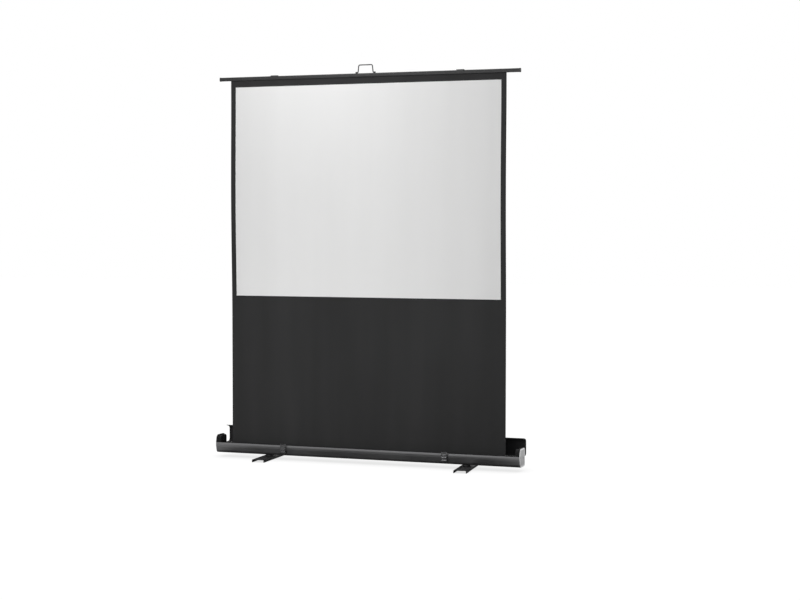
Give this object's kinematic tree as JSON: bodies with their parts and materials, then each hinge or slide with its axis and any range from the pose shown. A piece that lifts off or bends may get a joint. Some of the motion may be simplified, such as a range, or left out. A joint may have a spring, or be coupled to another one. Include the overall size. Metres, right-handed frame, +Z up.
{
  "type": "portable projection screen",
  "caption": "Floor-standing pull-up projection screen: white sheet with dark border and drop, top bar with wire handle, folding arms, hinged case and swivel feet.",
  "frame": {"origin": "on the floor, under the middle of the case", "axes": "+Z up, X along the case with its spring end at +X, -Y towards the audience"},
  "size_m": [1.3818, 0.2744, 1.686],
  "materials": {
    "case_black": "satin",
    "cap_black": "matt",
    "trim_silver": "satin silver",
    "zinc_steel": "zinc plated",
    "latch_chrome": "dark nickel",
    "roller_aluminium": "mill",
    "spring_steel": "oiled",
    "screen_fabric": "matt white with dark border",
    "dark_fabric": "matt",
    "bar_black": "satin",
    "arm_black": "satin",
    "washer_nylon": "natural",
    "plug_black": "matt",
    "handle_wire": "black coated",
    "foot_black": "textured"
  },
  "bodies": {
    "case": {"case_tray": "case_black", "end_cap_left": "cap_black", "end_cap_right": "cap_black", "end_trim_left": "trim_silver", "end_trim_right": "trim_silver", "end_cap_screws": "zinc_steel", "hinge_leaves_case": "arm_black", "hinge_pins": "zinc_steel", "latch_base_left": "latch_chrome", "latch_base_right": "latch_chrome", "latch_pins": "zinc_steel", "latch_rivets": "zinc_steel", "roller_stand_left": "zinc_steel", "roller_stand_right": "zinc_steel", "idle_pin": "zinc_steel", "spring_arbor": "zinc_steel", "roller_spring": "spring_steel", "screen_fabric": "screen_fabric", "arm_base_left": "zinc_steel", "arm_base_right": "zinc_steel", "base_pins": "zinc_steel", "base_washers": "washer_nylon", "arm_base_screws": "zinc_steel", "foot_bolts": "zinc_steel", "foot_washers": "plug_black"},
    "roller": {"roller_tube": "roller_aluminium", "wound_fabric": "dark_fabric", "roller_plug_left": "plug_black", "roller_plug_right": "plug_black"},
    "left_lower_link": {"lower_arm_left": "arm_black", "elbow_pin_left": "zinc_steel", "elbow_washer_left": "washer_nylon"},
    "left_upper_link": {"upper_arm_left": "arm_black"},
    "right_lower_link": {"lower_arm_right": "arm_black", "elbow_pin_right": "zinc_steel", "elbow_washer_right": "washer_nylon"},
    "right_upper_link": {"upper_arm_right": "arm_black"},
    "bar": {"top_bar": "bar_black", "fabric_slat": "roller_aluminium", "bar_plug_left": "plug_black", "bar_plug_right": "plug_black", "bar_saddle_left": "plug_black", "bar_saddle_right": "plug_black", "bar_pins": "zinc_steel", "bar_washers": "washer_nylon", "saddle_screws": "zinc_steel", "handle_clips": "plug_black"},
    "handle": {"pull_handle": "handle_wire"},
    "lid": {"lid_shell": "case_black", "hinge_leaves_lid": "arm_black", "latch_keepers": "latch_chrome"},
    "left_lever": {"latch_lever_left": "latch_chrome"},
    "left_loop": {"latch_loop_left": "latch_chrome"},
    "right_lever": {"latch_lever_right": "latch_chrome"},
    "right_loop": {"latch_loop_right": "latch_chrome"},
    "left_foot": {"foot_left": "foot_black"},
    "right_foot": {"foot_right": "foot_black"}
  },
  "joints": [
    {"name": "screen_fold", "type": "hinge", "parent": "case", "child": "left_lower_link", "pos_m": [-0.42, 0.01415, 0.058], "axis": [0, 1, 0], "range_deg": [0, 80], "deforming": ["screen_fabric"]},
    {"name": "left_elbow", "type": "hinge", "parent": "left_lower_link", "child": "left_upper_link", "pos_m": [-0.28202, 0.00985, 0.8405], "axis": [0, 1, 0], "range_deg": [-160, 0]},
    {"name": "bar_level", "type": "hinge", "parent": "left_upper_link", "child": "bar", "pos_m": [-0.42, 0.00985, 1.623], "axis": [0, 1, 0], "range_deg": [0, 80]},
    {"name": "right_base", "type": "hinge", "parent": "case", "child": "right_lower_link", "pos_m": [0.42, 0.02275, 0.058], "axis": [0, 1, 0], "range_deg": [-80, 0]},
    {"name": "right_elbow", "type": "hinge", "parent": "right_lower_link", "child": "right_upper_link", "pos_m": [0.28202, 0.01845, 0.8405], "axis": [0, 1, 0], "range_deg": [0, 160]},
    {"name": "roller_spin", "type": "hinge", "parent": "case", "child": "roller", "pos_m": [0, -0.0136, 0.045], "axis": [1, 0, 0], "range_deg": [-5786, 0]},
    {"name": "handle_fold", "type": "hinge", "parent": "bar", "child": "handle", "pos_m": [0, 0, 1.6519], "axis": [1, 0, 0], "range_deg": [-90, 90]},
    {"name": "lid_swing", "type": "hinge", "parent": "case", "child": "lid", "pos_m": [0, 0.0415, 0.053], "axis": [1, 0, 0], "range_deg": [0, 14]},
    {"name": "left_latch_lever", "type": "hinge", "parent": "case", "child": "left_lever", "pos_m": [-0.366, -0.0445, 0.036], "axis": [1, 0, 0], "range_deg": [0, 110]},
    {"name": "left_latch_loop", "type": "hinge", "parent": "left_lever", "child": "left_loop", "pos_m": [-0.366, -0.0445, 0.048], "axis": [1, 0, 0], "range_deg": [0, 60]},
    {"name": "right_latch_lever", "type": "hinge", "parent": "case", "child": "right_lever", "pos_m": [0.366, -0.0445, 0.036], "axis": [1, 0, 0], "range_deg": [0, 110]},
    {"name": "right_latch_loop", "type": "hinge", "parent": "right_lever", "child": "right_loop", "pos_m": [0.366, -0.0445, 0.048], "axis": [1, 0, 0], "range_deg": [0, 60]},
    {"name": "left_foot_swivel", "type": "hinge", "parent": "case", "child": "left_foot", "pos_m": [-0.45, 0, 0.0125], "axis": [0, 0, 1], "range_deg": [-3.5, 86.5]},
    {"name": "right_foot_swivel", "type": "hinge", "parent": "case", "child": "right_foot", "pos_m": [0.45, 0, 0.0125], "axis": [0, 0, 1], "range_deg": [-96.3, 0]}
  ],
  "couplings": [
    {"joint": "left_elbow", "follows": "screen_fold", "ratio": -2},
    {"joint": "bar_level", "follows": "screen_fold", "ratio": 1},
    {"joint": "right_base", "follows": "screen_fold", "ratio": -1},
    {"joint": "right_elbow", "follows": "screen_fold", "ratio": 2},
    {"joint": "roller_spin", "follows": "screen_fold", "ratio": -72.31}
  ]
}
